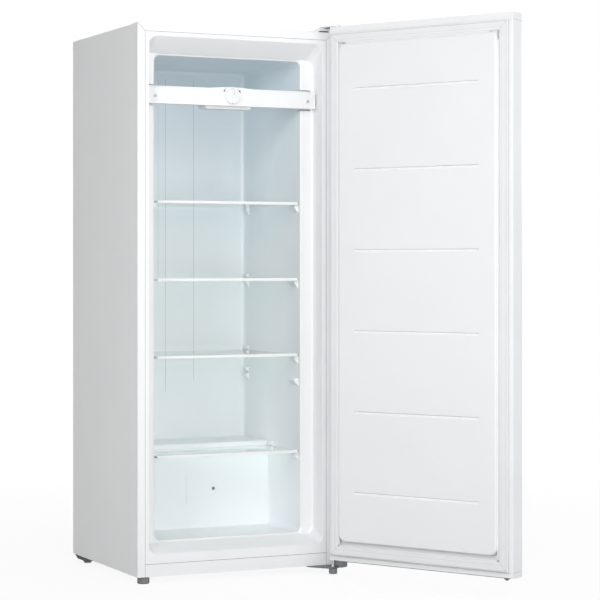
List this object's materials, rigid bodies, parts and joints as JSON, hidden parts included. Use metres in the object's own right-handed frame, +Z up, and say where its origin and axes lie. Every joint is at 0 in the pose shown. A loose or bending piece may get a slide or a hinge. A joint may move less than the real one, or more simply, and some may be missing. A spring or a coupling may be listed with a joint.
{
  "type": "upright freezer",
  "caption": "Tall white upright freezer with its door open, a moulded stepped liner, sliding glass shelves, a thermostat bar, a grooved inner door panel, levelling feet and rear rollers.",
  "frame": {"origin": "centre of the bounding box with the door open as in the picture, at the height of the floor", "axes": "+Z up, +Y towards the back of the cabinet, +X towards the hinge side"},
  "size_m": [0.8244, 1.0152, 1.435],
  "materials": {
    "painted_steel": "smooth gloss white paint",
    "zinc_steel": "galvanised sheet, dull spangle",
    "black_steel": "black satin paint",
    "copper": "drawn copper tube, slightly dulled",
    "white_plastic": "moulded white plastic, satin gloss",
    "liner_plastic": "thermoformed white polystyrene, satin gloss",
    "grey_plastic": "moulded grey plastic",
    "black_plastic": "moulded black plastic",
    "gasket_rubber": "soft white extruded vinyl",
    "foam": "closed-cell polyurethane foam, cream",
    "shelf_glass": "clear toughened float glass"
  },
  "bodies": {
    "cabinet": {"outer_wrapper": "painted_steel", "back_panel": "zinc_steel", "cabinet_liner": "liner_plastic", "cabinet_foam": "foam", "kick_plate": "white_plastic", "base_pan": "zinc_steel", "probe_hole_plug": "grey_plastic", "bay_panel": "zinc_steel", "compressor_base": "zinc_steel", "compressor": "black_steel", "compressor_relay_cover": "black_plastic", "suction_pipe": "copper", "discharge_pipe": "copper", "filter_drier": "copper", "roller_bracket_left": "black_steel", "roller_axle_left": "zinc_steel", "roller_bracket_right": "black_steel", "roller_axle_right": "zinc_steel", "lower_hinge_bracket": "zinc_steel", "lower_hinge_spacer": "grey_plastic", "top_hinge_bracket": "zinc_steel", "top_hinge_cover": "white_plastic", "hinge_hole_plug": "white_plastic", "control_bar": "white_plastic", "thermostat_housing": "white_plastic", "bar_screw_left": "zinc_steel", "bar_screw_right": "zinc_steel", "shelf_clip_left_1": "white_plastic", "shelf_clip_right_1": "white_plastic", "shelf_clip_left_2": "white_plastic", "shelf_clip_right_2": "white_plastic", "shelf_clip_left_3": "white_plastic", "shelf_clip_right_3": "white_plastic", "shelf_clip_left_4": "white_plastic", "shelf_clip_right_4": "white_plastic", "shelf_clip_left_5": "white_plastic", "shelf_clip_right_5": "white_plastic"},
    "door": {"door_skin": "painted_steel", "door_liner": "liner_plastic", "door_foam": "foam", "door_gasket": "gasket_rubber", "door_top_cap": "white_plastic", "door_bottom_cap": "white_plastic", "door_stop": "grey_plastic", "door_hole_plug": "grey_plastic"},
    "knob": {"thermostat_knob": "white_plastic"},
    "shelf_1": {"shelf_glass_1": "shelf_glass", "shelf_trim_1": "white_plastic"},
    "shelf_2": {"shelf_glass_2": "shelf_glass", "shelf_trim_2": "white_plastic"},
    "shelf_3": {"shelf_glass_3": "shelf_glass", "shelf_trim_3": "white_plastic"},
    "shelf_4": {"shelf_glass_4": "shelf_glass", "shelf_trim_4": "white_plastic"},
    "foot_left_stud": {"foot_stud_left": "zinc_steel"},
    "foot_left_pad": {"foot_pad_left": "grey_plastic"},
    "roller_left": {"rear_roller_left": "black_plastic"},
    "foot_right_stud": {"foot_stud_right": "zinc_steel"},
    "foot_right_pad": {"foot_pad_right": "grey_plastic"},
    "roller_right": {"rear_roller_right": "black_plastic"}
  },
  "joints": [
    {"name": "door_hinge", "type": "hinge", "parent": "cabinet", "child": "door", "pos_m": [0.13078, -0.02039, 0.018], "axis": [0, 0, 1], "range_deg": [-118.5, 16.5]},
    {"name": "thermostat_turn", "type": "hinge", "parent": "cabinet", "child": "knob", "pos_m": [-0.13922, 0.04461, 1.243], "axis": [0, -1, 0], "range_deg": [-135, 135]},
    {"name": "shelf_1_slide", "type": "slide", "parent": "cabinet", "child": "shelf_1", "axis": [0, -1, 0], "range_m": [0, 0.33]},
    {"name": "shelf_2_slide", "type": "slide", "parent": "cabinet", "child": "shelf_2", "axis": [0, -1, 0], "range_m": [0, 0.33]},
    {"name": "shelf_3_slide", "type": "slide", "parent": "cabinet", "child": "shelf_3", "axis": [0, -1, 0], "range_m": [0, 0.33]},
    {"name": "shelf_4_slide", "type": "slide", "parent": "cabinet", "child": "shelf_4", "axis": [0, -1, 0], "range_m": [0, 0.165]},
    {"name": "foot_left_travel", "type": "slide", "parent": "cabinet", "child": "foot_left_stud", "axis": [0, 0, -1], "range_m": [0, 0.005]},
    {"name": "foot_left_turn", "type": "hinge", "parent": "foot_left_stud", "child": "foot_left_pad", "pos_m": [-0.38922, 0.03361, 0.008], "axis": [0, 0, 1], "range_deg": [0, 1200]},
    {"name": "foot_right_travel", "type": "slide", "parent": "cabinet", "child": "foot_right_stud", "axis": [0, 0, -1], "range_m": [0, 0.005]},
    {"name": "foot_right_turn", "type": "hinge", "parent": "foot_right_stud", "child": "foot_right_pad", "pos_m": [0.11828, -0.02439, 0.008], "axis": [0, 0, 1], "range_deg": [0, 1200]},
    {"name": "roller_left_spin", "type": "hinge", "parent": "cabinet", "child": "roller_left", "pos_m": [-0.39822, 0.43561, 0.018], "axis": [1, 0, 0], "continuous": true},
    {"name": "roller_right_spin", "type": "hinge", "parent": "cabinet", "child": "roller_right", "pos_m": [0.12378, 0.43561, 0.018], "axis": [1, 0, 0], "continuous": true}
  ],
  "couplings": [
    {"joint": "foot_left_travel", "follows": "foot_left_turn", "m_per_rad": 0.0002387},
    {"joint": "foot_right_travel", "follows": "foot_right_turn", "m_per_rad": 0.0002387}
  ]
}
